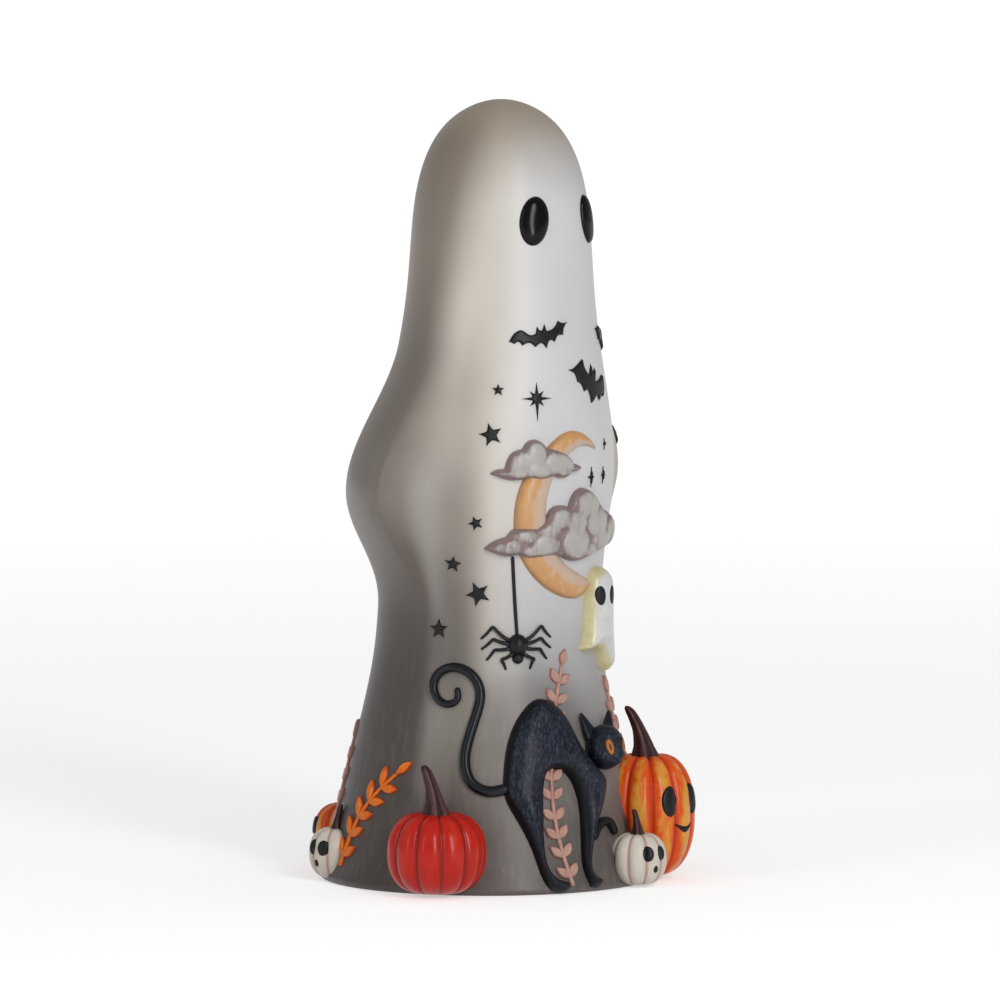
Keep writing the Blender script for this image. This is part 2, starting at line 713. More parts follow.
def moonGlaze():
    # amber on the outer side of the crescent, rose on the inner side, a darker line along the outer edge
    material, n, shader = newMaterial("moonGlaze", coat=0.2, coatRoughness=0.15)
    across = n.math("ADD", n.value("rim"), n.times(n.wander(160.0), 0.22))
    paint = n.blend(n.ramp(across, 0.44, 0.62), moonPaint["outer"], moonPaint["inner"])
    paint = n.blend(n.ramp(across, 0.16, 0.02, 0.0, 0.55), paint, moonPaint["rim"])
    paint = brushOver(n, paint, moonPaint["brushed"], n.value("rise"), 300.0, 0.22)
    finishGlaze(n, shader, paint, 0.10, 220.0, 0.34, 0.2)
    return material


cloudPaint = {"rose": colour(146, 122, 117), "mauve": colour(134, 119, 121), "pale": colour(188, 184, 179)}


def cloudGlaze():
    # mauve ground, pale paint dragged over the puffs
    material, n, shader = newMaterial("cloudGlaze", coat=0.15, coatRoughness=0.2)
    ground = n.blend(n.ramp(n.noise(240.0), 0.35, 0.65), cloudPaint["rose"], cloudPaint["mauve"])
    raised = n.ramp(n.value("rise"), 0.50, 1.0, 0.1, 1.0)
    paint = brushOver(n, ground, cloudPaint["pale"], raised, 300.0, 0.46)
    finishGlaze(n, shader, paint, 0.12, 300.0, 0.38, 0.3)
    return material


glazes = {
    "body": bodyGlaze(),
    "eye": plainGlaze("eyeGloss", colour(5, 5, 7), roughness=0.2, coat=0.10, specular=0.16, blotch=0.2),
    "black": plainGlaze("blackGlaze", colour(14, 15, 19), roughness=0.42, coat=0.04, specular=0.3,
                        blotch=0.3),
    "tail": plainGlaze("tailGlaze", colour(12, 14, 22), roughness=0.3, coat=0.05, specular=0.32),
    "moon": moonGlaze(),
    "cloud": cloudGlaze(),
    "cat": catGlaze(),
    "amber": catEyeGlaze(),
    "pale": rimmedGlaze("paleGlaze", colour(226, 226, 226), colour(218, 209, 164), 3.0, rimStart=1.3),
    "red": pumpkinGlaze("redGlaze", colour(198, 25, 2), colour(156, 15, 2), colour(212, 46, 12), cover=0.24),
    "orange": pumpkinGlaze("orangeGlaze", colour(234, 84, 0), colour(204, 54, 0), colour(236, 166, 62),
                           cover=0.35),
    "cream": pumpkinGlaze("creamGlaze", colour(222, 214, 200), colour(194, 152, 142), colour(230, 224, 212),
                          grooveWidth=0.42),
    "stem": rimmedGlaze("stemGlaze", colour(70, 38, 38), colour(40, 20, 24), 0.6, roughness=0.36, coat=0.05,
                        over=colour(96, 60, 58), specular=0.35),
    "pink": rimmedGlaze("pinkLeafGlaze", colour(188, 138, 124), colour(168, 118, 106), 0.5, coat=0.0,
                        over=colour(200, 158, 144), specular=0.3),
    "leaf": rimmedGlaze("orangeLeafGlaze", colour(240, 106, 8), colour(206, 80, 6), 0.5, coat=0.05,
                        over=colour(246, 132, 30), specular=0.35),
}
slots = {glaze: glaze + "_glaze" for glaze in glazes}
slots.update({"eye": "black_gloss", "black": "black_gloss", "tail": "cat_glaze", "leaf": "orange_glaze"})
print("glazes ready:", len(glazes))


def ghostBody():
    form = bodyForm
    shares = np.linspace(0, 1, form["rows"])
    rows = silhouette[(shares * (len(silhouette) - 1)).astype(int)]
    columns = form["columns"]
    around = np.arange(columns) * 360 / columns - 180
    foot = form["footRound"]
    levels = []
    for turn in np.radians(np.linspace(0, 90, 6)[:-1]):  # the rolled edge of the foot
        radius = form["footRadius"] - 0.35 * foot - foot * (1 - math.sin(turn))
        levels.append((radius, foot * (1 - math.cos(turn))))
    levels += [(radius, height) for radius, height in rows[:-1] if height > foot]
    rings = [bodyAt(around, np.full(columns, height), np.full(columns, radius)) for radius, height in levels]
    faces = ringFaces(len(rings), columns)
    verts = np.concatenate(rings + [[bodyAt(0.0, crown, 0.0)]])
    top, last = len(verts) - 1, (len(rings) - 1) * columns
    faces += [(last + c, last + (c + 1) % columns, top) for c in range(columns)]
    # flat foot with its vent hole, which is only a pocket here
    turns, vent = np.radians(around), form["ventRadius"]
    hole = np.stack([vent * np.sin(turns), form["ventBack"] - vent * np.cos(turns), 0 * turns], -1)
    pocket = hole + np.array([0, 0, form["ventDepth"]])
    start = len(verts)
    verts = np.concatenate([verts, hole, pocket])
    for c in range(columns):
        d = (c + 1) % columns
        faces.append((d, c, start + c, start + d))
        faces.append((start + d, start + c, start + columns + c, start + columns + d))
    faces.append(tuple(start + columns + c for c in range(columns)))
    setPiece("ghostBodyCasting", (verts, faces, {}), "body", "ghost_body")


ghostBody()
print("body cast")

eyeShape = {"around": 26.0, "height": 254.0, "half": (6.0, 9.4), "tilt": 9.0, "rounding": 6.0, "dome": 2.2,
            "step": 0.5}


def bigEyes():
    for side, name in ((-1, "right"), (1, "left")):
        around = side * eyeShape["around"]
        loop = ellipseOf(*eyeShape["half"], eyeShape["step"], tilt=side * eyeShape["tilt"])
        parts = reliefParts(centred(loop, around, eyeShape["height"]), onBody(around),
                            domed(eyeShape["rounding"], eyeShape["dome"]), eyeShape["step"])
        setPiece(name + "EyeDome", parts, "eye", name + "_eye")


bigEyes()
print("eyes set")


# bats, stars and twinkles: flat black relief with a softened edge
flatTrim = {"thickness": 0.75, "edge": 0.35, "rounding": 0.9, "step": 0.35}


def flatRise(distance, flat):
    return flatTrim["edge"] + pillow(distance, flatTrim["rounding"], flatTrim["thickness"])


def blackTrim(name, node, loop, facing):
    setPiece(name, reliefParts(loop, onBody(facing), flatRise, flatTrim["step"]), "black", node)


def batLoop(span):
    half = span / 24.0
    stretches = [
        [(-10.2, 0.9), (-7.2, 2.3), (-4.2, 0.5), (-1.9, 0.9)],
        [(-1.3, 3.6)], [(-0.2, 2.2), (0.8, 2.1)], [(1.7, 4.4)],
        [(2.6, 1.9)], [(5.2, 2.6), (7.6, 5.5)], [(9.4, 4.7), (11.9, 4.9)],
        [(10.2, 3.0), (9.6, 0.2)], [(7.7, 0.2), (5.9, -2.2)],
        [(4.2, -1.5), (2.2, -4.6)], [(0.4, -2.6), (-2.2, -4.0)],
        [(-4.6, -2.4), (-7.2, -3.4)], [(-8.6, -2.0), (-10.2, -2.8)],
        [(-11.0, -2.2), (-12.0, -2.0)],
    ]
    return outlineOf(*stretches, step=flatTrim["step"])[::-1] * half


bats = {
    "right_bat": {"around": -24.0, "height": 210.5, "tilt": 0, "flip": 1, "span": 24.5},
    "left_bat": {"around": 44.0, "height": 208.0, "tilt": 2, "flip": -1, "span": 24.0},
}
steepBat = {"facing": 8.0, "height": 192.5}


def steepBatLoop():
    # the middle bat banks over, one wing high
    return outlineOf(
        [(-8.8, 5.3), (-5.6, 7.0), (-2.9, 8.7)], [(-2.1, 5.2), (0.6, 2.3)],
        [(2.9, 6.6)], [(3.0, 4.0), (3.6, 2.8)], [(5.6, 5.0)],
        [(5.0, 1.4), (4.6, -0.2)], [(8.0, 0.2), (12.4, 2.0)],
        [(12.8, -2.0), (11.2, -6.4)], [(9.2, -5.2), (7.4, -7.6)],
        [(5.6, -5.4), (3.4, -6.6), (1.0, -8.2)],
        [(0.3, -5.2), (-1.2, -3.0), (-3.4, -3.6)],
        [(-4.7, -0.9), (-7.0, 0.4)], [(-7.7, 3.0), (-9.2, 4.2), (-11.2, 4.9)],
        step=flatTrim["step"])[::-1]


def batFlock():
    for node, bat in bats.items():
        loop = turned(batLoop(bat["span"]) * np.array([bat["flip"], 1]), bat["tilt"])
        if bat["flip"] < 0:
            loop = loop[::-1]
        blackTrim(node + "Relief", node, centred(loop, bat["around"], bat["height"]), bat["around"])
    loop = steepBatLoop() + np.array([0, steepBat["height"]])
    blackTrim("centre_batRelief", "centre_bat", loop, steepBat["facing"])


starForm = {"dip": 0.45, "twinkleShort": 0.62, "twinkleDip": 0.2, "hollow": 0.05, "steps": 6}


def starLoop(reaches, dip, turn):
    # star with slightly hollow sides
    count = len(reaches)
    loop = []
    for i, reach in enumerate(reaches):
        tip = math.radians(90 + turn + 360 * i / count)
        valley = tip + math.pi / count
        following = math.radians(90 + turn + 360 * (i + 1) / count)
        low = dip * np.array([math.cos(valley), math.sin(valley)])
        here = reach * np.array([math.cos(tip), math.sin(tip)])
        after = reaches[(i + 1) % count] * np.array([math.cos(following), math.sin(following)])
        for start, end in ((here, low), (low, after)):
            for t in np.linspace(0, 1, starForm["steps"] + 1)[:-1]:
                loop.append(start * (1 - t) + end * t - low * starForm["hollow"] * math.sin(math.pi * t))
    return np.array(loop)


stars = {
    "right_star_1": (-47.9, 190.4, 2.4, 0), "right_star_2": (-50.6, 173.6, 4.6, 14),
    "right_star_3": (-55.9, 140.1, 2.9, 20), "right_star_4": (-66.3, 124.4, 3.2, -10),
    "right_star_5": (-54.0, 112.9, 4.9, 24), "right_star_6": (-74.1, 99.1, 3.9, 0),
    "left_star_1": (66, 192, 2.4, 8), "left_star_2": (84, 168, 4.6, -12), "left_star_3": (62, 132, 2.6, -20),
    "left_star_4": (52, 110, 4.6, 10), "left_star_5": (76, 96, 3.4, 0),
}
twinkles = {"twinkle_1": (24, 168.1, 2.3), "twinkle_2": (9.5, 156.1, 4.0), "twinkle_3": (22.5, 156.3, 3.3)}
guidingStar = {"facing": -26.0, "spot": (1.5, 187.0), "down": 8.6, "up": 6.1, "short": 4.0, "dip": 1.9}


def starField():
    loops = {}
    for node, (around, height, reach, turn) in stars.items():
        loops[node] = around, height, starLoop([reach] * 5, starForm["dip"] * reach, turn)
    for node, (around, height, reach) in twinkles.items():
        reaches = [reach, starForm["twinkleShort"] * reach] * 2
        loops[node] = around, height, starLoop(reaches, starForm["twinkleDip"] * reach, 0)
    for node, (around, height, loop) in loops.items():
        blackTrim(node + "Relief", node, centred(loop, around, height), around)
    star = guidingStar
    upper = [star["up"], star["short"], star["up"], star["short"]]
    loop = starLoop(upper + [star["down"]] + upper[1:], star["dip"], 0) + star["spot"]
    blackTrim("guidingStarRelief", "guiding_star", loop, star["facing"])


batFlock()
starField()
print("bats and stars pressed on")

moonShape = {"facing": -10.0, "thickness": 2.2, "rounding": 3.4, "ridge": 0.4, "ridgeAt": 0.42,
             "ridgeWidth": 0.2, "ridgeEdge": 2.0, "step": 0.6}


def crescentMoon():
    outer = [(11.5, 172.2), (2.0, 174.2), (-9.0, 167.4), (-17.8, 155.5), (-20.3, 142.0),
             (-16.4, 125.8), (-7.0, 115.0), (3.5, 110.4), (11.5, 110.6), (18.0, 116.0)]
    inner = [(9.5, 119.6), (0.0, 125.6), (-6.4, 136.0), (-7.6, 147.5), (-4.4, 158.0),
             (3.0, 166.2), (11.0, 168.2), (18.4, 166.0)]
    loop = outlineOf(outer, inner, step=moonShape["step"])
    lines = [splineThrough([inner[-1], *outer], 90), splineThrough([outer[-1], *inner], 80)]

    def shareAcross(flat):  # 0 at the outer edge of the crescent, 1 at the inner edge
        fromOuter, fromInner = [np.linalg.norm(flat[:, None] - line[None], axis=-1).min(1) for line in lines]
        return fromOuter / np.maximum(fromOuter + fromInner, 1e-6)

    def rise(distance, flat):
        off = (shareAcross(flat) - moonShape["ridgeAt"]) / moonShape["ridgeWidth"]
        ridge = np.exp(-off ** 2) * np.clip(distance / moonShape["ridgeEdge"], 0, 1)
        return pillow(distance, moonShape["rounding"], moonShape["thickness"]) + moonShape["ridge"] * ridge

    parts = reliefParts(loop, onBody(moonShape["facing"]), rise, moonShape["step"], tint=shareAcross)
    setPiece("crescentMoonRelief", parts, "moon", "crescent_moon")


# clouds: edges meet in the creases between puffs; heights are above the waist
# puffs: across, rise, half width, half height, lift
clouds = {
    "upper_cloud": {
        "facing": -27.0,
        "edges": [
            [(-14.2, 42.4), (-11.0, 42.8)],
            [(-10.1, 45.8), (-8.0, 48.8), (-4.0, 50.2)],
            [(-2.8, 52.2), (0.6, 53.6), (3.6, 52.6), (5.6, 50.2)],
            [(9.2, 50.0), (13.4, 48.0), (15.8, 46.0), (17.0, 43.8)],
            [(19.8, 43.4), (20.9, 42.1), (19.4, 41.0), (16.0, 40.6)],
            [(14.6, 39.1), (11.6, 38.6), (8.4, 39.4)],
            [(5.0, 38.3), (1.6, 38.2), (-0.6, 38.8)],
            [(-4.4, 38.4), (-8.4, 38.2), (-13.6, 39.6), (-16.8, 40.9)],
        ],
        "puffs": [(-5.6, 44.6, 4.6, 4.4, 2.2), (0.2, 47.6, 4.4, 5.0, 2.4), (1.6, 42.2, 5.4, 3.4, 2.5),
                  (7.8, 44.4, 4.4, 4.2, 2.3), (12.6, 44.8, 3.6, 3.4, 2.0), (16.2, 42.2, 2.6, 1.6, 1.3),
                  (-11.0, 40.9, 4.2, 1.7, 1.2), (11.8, 40.8, 3.2, 1.8, 1.6), (-5.4, 40.6, 3.8, 2.0, 1.7)],
    },
    "lower_cloud": {
        "facing": -8.0,
        "edges": [
            [(-28.6, 14.8), (-24.0, 16.8)],
            [(-22.4, 19.2), (-19.0, 20.6), (-13.4, 20.5)],
            [(-10.4, 22.4), (-8.8, 25.4)],
            [(-7.0, 27.4), (-4.0, 28.2), (0.6, 27.6)],
            [(3.0, 32.4), (7.4, 34.4), (13.4, 31.8), (20.0, 25.9)],
            [(25.0, 24.4), (30.0, 20.0), (31.0, 14.6), (28.0, 11.0)],
            [(21.0, 10.0), (14.0, 8.6)],
            [(8.6, 6.9), (2.8, 6.6), (-2.4, 8.6)],
            [(-8.0, 9.0), (-14.6, 8.2), (-19.4, 9.6)],
            [(-24.0, 9.3), (-27.4, 10.5), (-31.0, 12.3)],
        ],
        "puffs": [(-23.0, 13.2, 6.4, 2.8, 1.8), (-17.4, 17.2, 4.6, 2.8, 1.9), (-9.8, 13.4, 5.4, 4.2, 2.5),
                  (-9.0, 19.0, 4.2, 3.8, 2.0), (-4.2, 23.6, 4.0, 4.2, 2.2), (3.4, 13.8, 6.6, 6.2, 2.9),
                  (9.0, 28.4, 6.0, 5.4, 2.6), (3.0, 21.6, 5.0, 4.6, 2.3), (14.6, 21.0, 6.4, 5.4, 2.7),
                  (18.0, 14.6, 6.0, 4.2, 2.4), (25.6, 17.8, 4.6, 5.2, 2.0), (-15.6, 11.2, 4.4, 2.2, 1.6),
                  (10.6, 10.6, 4.4, 2.6, 1.9)],
    },
}
cloudForm = {"plate": 3.0, "plateRound": 1.7, "blend": 2.0, "lift": 0.62, "soft": 5, "step": 0.45}


def cloudRise(puffs):
    def rise(distance, flat):
        lift = np.zeros(len(flat))
        for across, up, halfWidth, halfHeight, height in puffs:
            away = ((flat[:, 0] - across) / halfWidth) ** 2 + ((flat[:, 1] - waist - up) / halfHeight) ** 2
            lift = lift + (height * np.sqrt(np.maximum(0, 1.1 - away))) ** cloudForm["soft"]
        lift = cloudForm["lift"] * lift ** (1 / cloudForm["soft"])  # puffs run softly into each other
        return (pillow(distance, cloudForm["plateRound"], cloudForm["plate"])
                + lift * np.clip(distance / cloudForm["blend"], 0, 1))
    return rise


def cloudBanks():
    for node, cloud in clouds.items():
        loop = (outlineOf(*cloud["edges"], step=cloudForm["step"]) + np.array([0, waist]))[::-1]
        parts = reliefParts(loop, onBody(cloud["facing"]), cloudRise(cloud["puffs"]), cloudForm["step"])
        setPiece(node + "Puffs", parts, "cloud", node)


crescentMoon()
cloudBanks()
print("moon and clouds pressed on")


spider = {
    "facing": -33.0, "middle": (0.0, 93.4), "thread": 0.7, "threadFoot": 2.0, "threadTop": (-2.2, 126.5),
    "threadLift": 0.25, "abdomen": (3.9, 4.134, 3.6), "abdomenLift": 0.6, "head": (2.2, 2.3, 2.1),
    "headLift": 0.5, "headDrop": 5.0, "legRadii": (0.777, 0.481), "kneeRound": 0.15,
    "legLift": ([0, 0.2, 0.6, 0.9, 1], [0.9, 1.2, 1.1, 0.4, 0.2]),
    # hip, knee and foot of the legs on one side, from the middle
    "legs": [((2.4, 1.2), (9.4, 6.9), (13.4, 2.6)), ((2.6, 0.2), (9.2, 2.2), (13.3, -1.4)),
             ((2.4, -1.2), (8.8, -1.9), (11.6, -5.5)), ((1.8, -3.2), (6.2, -5.6), (4.8, -9.0))],
}


def lumpParts(facing, spot, halfSizes, lift):
    # egg-shaped lump bedded on the body
    rings, sides = 20, 32
    base, normals = onBody(facing)(np.array([spot], float))
    normal = normals[0]
    middle = base[0] + normal * lift
    side = acrossOf(facing)
    side = side - normal * (side @ normal)
    side /= np.linalg.norm(side)
    axes = np.array([side, np.cross(normal, side), normal]) * np.array(halfSizes)[:, None]
    verts, rises = [], []
    for r in range(1, rings):
        polar = math.pi * r / rings
        for turn in turnsOf(sides):
            x, y, z = math.sin(polar) * math.cos(turn), math.sin(polar) * math.sin(turn), math.cos(polar)
            verts.append(middle + axes[0] * x + axes[1] * y + axes[2] * z)
            rises.append(0.5 + 0.5 * z)
    top, bottom = len(verts), len(verts) + 1
    verts += [middle + axes[2], middle - axes[2]]
    rises += [1.0, 0.0]
    verts, faces, values = ringParts(verts, rises, sides, downward=True)
    last = (rings - 2) * sides
    for k in range(sides):
        following = (k + 1) % sides
        faces += [(k, following, top), (last + following, last + k, bottom)]
    return verts, faces, values


def spiderOnThread():
    x, y = spider["middle"]
    facing, bend = spider["facing"], spider["kneeRound"]
    place = onBody(facing)
    lumps = [lumpParts(facing, (x, y), spider["abdomen"], spider["abdomenLift"]),
             lumpParts(facing, (x, y - spider["headDrop"]), spider["head"], spider["headLift"])]
    setPiece("spiderBodyLumps", joinParts(lumps), "black", "spider_body")
    legs = []
    for side in (-1, 1):
        for hip, knee, foot in np.array(spider["legs"]):
            run = [hip, knee + bend * (hip - knee), knee, knee + bend * (foot - knee), foot]
            flat = splineThrough([(x + side * u, y + v) for u, v in run], 24)
            base, normal = place(flat)
            lift = np.interp(np.linspace(0, 1, len(flat)), *spider["legLift"])
            radii = np.linspace(*spider["legRadii"], len(flat))
            legs.append(tubeParts(base + normal * lift[:, None], radii, 10, normal))
    setPiece("spiderLegSet", joinParts(legs), "black", "spider_legs")
    flat = splineThrough([(x, y + spider["threadFoot"]), spider["threadTop"]], 40)
    base, normal = place(flat)
    path = base + normal * spider["threadLift"]
    tube = tubeParts(path, np.full(len(flat), spider["thread"]), 10, normal)
    setPiece("spiderThreadLine", tube, "black", "spider_thread")


spiderOnThread()
print("spider hung")

smallGhost = {"facing": 18.0, "foot": 80.0, "depth": 7.6, "rounding": 8.5, "look": 14.0, "eyes": (-1.4, 4.8),
              "eyeHeight": 110.6, "eyeHalf": (1.9, 3.7), "eyeTilt": 4, "step": 0.5}


def littleGhost():
    ghost = smallGhost
    shape = [
        [(-4.6, 39.6), (-7.0, 35.0), (-7.6, 27.0), (-8.2, 18.0), (-9.2, 13.4), (-11.4, 10.6)],
        [(-8.6, 9.2), (-4.0, 9.8), (-0.6, 8.6), (2.6, 4.4), (6.4, 0.0)],
        [(9.0, 1.6), (9.8, 7.0), (9.8, 18.0), (9.4, 28.0), (8.0, 36.0), (5.0, 40.4), (0.6, 41.6)],
    ]
    loop = outlineOf(*shape, step=ghost["step"]) + np.array([0, ghost["foot"]])
    rise = domed(ghost["rounding"], ghost["depth"])
    parts = reliefParts(loop, onBody(ghost["facing"]), rise, ghost["step"])
    piece = setPiece("smallGhostRelief", parts, "pale", "small_ghost")
    place = onPiece(piece, ghost["look"], (0, 0, 0))
    loops = [ellipseOf(*ghost["eyeHalf"], 0.25, (across, ghost["eyeHeight"]), ghost["eyeTilt"])
             for across in ghost["eyes"]]
    setPiece("smallGhostEyePair", markParts(loops, place, marks["ghost"]), "black", "small_ghost_eyes")


littleGhost()
print("small ghost set")

cat = {"facing": -22.0, "thickness": 6.0, "rounding": 6.5, "headAround": 5.0, "headHeight": 53.5,
       "headRadius": 7.8, "headOut": 5.0, "look": -5.0, "tailFacing": -50.0, "tailRadius": 1.95,
       "eyeHalf": (1.8, 3.4), "eyeApart": 3.4, "eyeUp": 0.7, "eyeTilt": 6, "pawRadii": (1.9, 1.5),
       "pawLift": 1.6, "tailTaper": ([0, 0.5, 0.85, 1], [1.1, 1.0, 0.85, 0.6]), "tailLift": 0.45,
       "muscleEdge": 2.0, "step": 0.6, "headVoxel": 0.32, "headRounds": 3, "headRim": 3.0,
       # across, height, reach and lift of the haunch, the shoulder and the thigh
       "muscles": [(-7.0, 54.0, 10.0, 1.6), (14.0, 44.0, 7.0, 1.4), (-9.5, 30.0, 5.0, 0.8)]}
# parts of the head in head radii; bumps: across, up, half width, half height, lift
skullForm = {"size": 0.97, "stretch": (0.97, 1.15, 0.97), "sides": 64, "rings": 44,
             "muzzle": (0, -0.42, 0.42, 0.30, 0.30), "cheek": (0.72, -0.28, 0.25, 0.25, 0.10),
             "brow": (0, 0.55, 0.5, 0.2, 0.05)}
earForm = {"foot": (0.46, 0.42, -0.25), "tip": (0.95, 1.71, -0.72), "width": 0.44, "tipWidth": 0.05,
           "taper": 0.75, "front": 0.34, "back": 0.75, "sides": 20, "rings": 9}


def catRise(distance, flat):
    height = pillow(distance, cat["rounding"], cat["thickness"])
    for x, y, reach, lift in cat["muscles"]:
        near = np.exp(-((flat[:, 0] - x) ** 2 + (flat[:, 1] - y) ** 2) / reach ** 2)
        height = height + lift * near * np.clip(distance / cat["muscleEdge"], 0, 1)
    return height


def catBody():
    shape = [
        [(-16.0, 53.0), (-8.4, 68.0), (-1.0, 72.8), (7.6, 67.6), (14.0, 55.0), (19.6, 46.4)],
        [(24.4, 41.0), (23.6, 35.0), (17.6, 22.5), (14.0, 12.0), (14.2, 6.4), (17.4, 4.4)],
        [(17.2, 2.2), (12.6, 2.0)],
        [(10.6, 8.0), (10.6, 16.0), (11.6, 26.0), (10.6, 38.0), (5.0, 45.6), (0.0, 45.8),
         (-3.2, 39.0), (-4.4, 28.0), (-5.2, 15.0), (-3.0, 7.0), (2.6, 4.4)],
        [(3.0, 2.0), (-3.6, 1.1), (-6.2, 3.6), (-9.4, 14.0), (-14.6, 28.0), (-18.0, 36.6),
         (-18.4, 40.0)],
    ]
    place = onBody(cat["facing"])
    body = reliefParts(outlineOf(*shape, step=cat["step"])[::-1], place, catRise, cat["step"])
    # the lifted front paw curls out from the chest
    flat = splineThrough([(16.5, 20.5), (20.6, 24.9), (24.9, 24.8), (27.0, 21.2)], 26)
    base, normal = place(flat)
    paw = tubeParts(base + normal * cat["pawLift"], np.linspace(*cat["pawRadii"], len(flat)), 14, normal)
    setPiece("catBodyRelief", joinParts([body, paw]), "cat", "cat_body")


def catTail():
    path = [(9.0, 39.6), (2.6, 38.6), (-3.8, 41.6), (-6.4, 48.0), (-5.2, 58.0), (-2.0, 68.5), (-1.0, 75.5),
            (-3.4, 81.2), (-10.6, 84.8), (-17.2, 81.8), (-18.4, 75.2), (-14.2, 71.0), (-9.8, 72.6),
            (-9.6, 76.2)]
    flat = splineThrough(path, 150)
    base, normal = onBody(cat["tailFacing"])(flat)
    radii = cat["tailRadius"] * np.interp(np.linspace(0, 1, len(flat)), *cat["tailTaper"])
    tube = tubeParts(base + normal * (radii * cat["tailLift"])[:, None], radii, 16, normal)
    setPiece("catTailCurl", tube, "tail", "cat_tail")


def catSkull(spot, axes):
    # round skull drawn out into a muzzle, cheeks and brows
    form, radius = skullForm, cat["headRadius"]
    across, up, ahead = np.array(axes) * np.array(form["stretch"])[:, None]
    verts = []
    for r in range(form["rings"] + 1):
        polar = math.pi * r / form["rings"]
        for turn in turnsOf(form["sides"]):
            x, y, z = math.sin(polar) * math.cos(turn), math.cos(polar), math.sin(polar) * math.sin(turn)
            size = form["size"]
            for bump in ("muzzle", "cheek", "brow"):
                aside, above, halfWidth, halfHeight, lift = form[bump]
                near = math.exp(-(((abs(x) - aside) / halfWidth) ** 2 + ((y - above) / halfHeight) ** 2))
                size += lift * near * (1 if bump == "cheek" else max(z, 0))
            verts.append(spot + radius * size * (x * across + y * up + z * ahead))
    return np.array(verts), ringFaces(form["rings"] + 1, form["sides"]), {}


def catEar(spot, axes, flip):
    # pointed ear, flatter in front
    form, radius = earForm, cat["headRadius"]
    side, _, look = axes
    foot, tip = [spot + radius * np.array([flip * aside, up, ahead]) @ np.array(axes)
                 for aside, up, ahead in (form["foot"], form["tip"])]
    verts = []
    for share in np.linspace(0, 1, form["rings"]):
        middle = foot * (1 - share) + tip * share
        width = radius * (form["width"] * (1 - share) ** form["taper"] + form["tipWidth"])
        for turn in turnsOf(form["sides"]):
            depth = width * (form["front"] if math.sin(turn) > 0 else form["back"])
            verts.append(middle + width * math.cos(turn) * side + depth * math.sin(turn) * look)
    return np.array(verts), ringFaces(form["rings"], form["sides"], closed=True), {}


def catHead():
    spot = bodyAt(cat["headAround"], cat["headHeight"]) + outwardOf(cat["headAround"]) * cat["headOut"]
    look = outwardOf(cat["look"])
    axes = acrossOf(cat["look"]), np.array([0, 0, 1.0]), look
    forms = [catSkull(spot, axes), catEar(spot, axes, -1), catEar(spot, axes, 1)]
    head = makePiece("catHeadForm", joinParts(forms), "cat")
    remesh(head, cat["headVoxel"], cat["headRounds"])
    rise = np.array([(Vector(v.co) / mm - Vector(spot)).dot(Vector(look)) for v in head.data.vertices])
    finishMesh(head.data, {"rise": np.clip(0.5 + rise / (2 * cat["headRadius"]), 0, 1),
                           "rim": np.full(len(rise), cat["headRim"])})  # a head has no rim to darken
    standFor(head, "cat_head")
    place = onPiece(head, cat["look"], spot)
    loops = [ellipseOf(*cat["eyeHalf"], 0.2, (flip * cat["eyeApart"], cat["eyeUp"]), -flip * cat["eyeTilt"])
             for flip in (-1, 1)]
    setPiece("catEyePair", markParts(loops, place, marks["cat"]), "amber", "cat_eyes")


catBody()
catTail()
catHead()
print("cat set")

# kinds of pumpkin; the stem and the eyes are shares of the usual stem and of the pumpkin's own size
pumpkinKinds = {
    "red": {"radius": 19.0, "height": 32.0, "ribs": 11, "glaze": "red", "stem": 1.0},
    "jack": {"radius": 19.0, "height": 49.0, "ribs": 11, "glaze": "orange", "stem": 1.0, "eye": (0.19, 0.12),
             "smile": True},
    "smallJack": {"radius": 14.0, "height": 25.0, "ribs": 10, "glaze": "orange", "stem": 0.7,
                  "eye": (0.20, 0.14), "smile": True},
    "white": {"radius": 11.0, "height": 20.5, "ribs": 9, "glaze": "cream", "stem": 0.5, "eye": (0.19, 0.143),
              "smile": False},
}
# where they stand: around, distance of the middle from the axis, lean of the stem, and where a face looks
pumpkins = {
    "red_pumpkin": {"kind": "red", "around": -65, "out": 65.8, "lean": (-2.5, 4.0)},
    "front_jack": {"kind": "jack", "around": 35, "out": 61.3, "lean": (-4.0, 6.0), "look": 5, "apart": 0.37},
    "front_white_pumpkin": {"kind": "white", "around": 12, "out": 66.3, "lean": (0, 2.0), "look": -9,
                            "apart": 0.28},
    "back_jack": {"kind": "smallJack", "around": -168, "out": 62.3, "lean": (1.0, -3.0), "look": -166,
                  "apart": 0.45},
    "back_white_pumpkin": {"kind": "white", "around": -124, "out": 59.3, "lean": (0.5, -1.5), "look": -96,
                           "apart": 0.26},
    "left_pumpkin": {"kind": "red", "around": 82, "out": 63.3, "lean": (-4.0, 2.0)},
}
pumpkinForm = {"lift": 0.5, "sideRound": 0.72, "endRound": 0.86, "groove": 0.06, "grooveSharp": 2.2,
               "ribRound": 0.035, "dimple": 0.07, "dimpleReach": 0.34, "footDimple": 0.4,
               "crownGroove": 0.05, "crownReach": 0.6, "bury": 1.5, "rows": 64, "ribSteps": 16}
stemForm = {"height": 17.0, "ridges": 5, "ridge": (0.14, 0.09), "twist": 0.5, "grip": 1.5,
            "width": ([0, 0.12, 0.3, 0.6, 0.9, 0.96, 1.0], [6.0, 5.2, 3.7, 2.5, 1.95, 1.6, 0.7]),
            "sides": 30, "rings": 30}
faceForm = {"eyeHeight": 0.63, "eyeTilt": 6, "grin": (0.26, 0.43), "grinEnds": 1.6, "grinLow": -2.6,
            "grinHigh": -0.2, "mouth": (0.10, 0.07), "mouthHeight": 0.34}


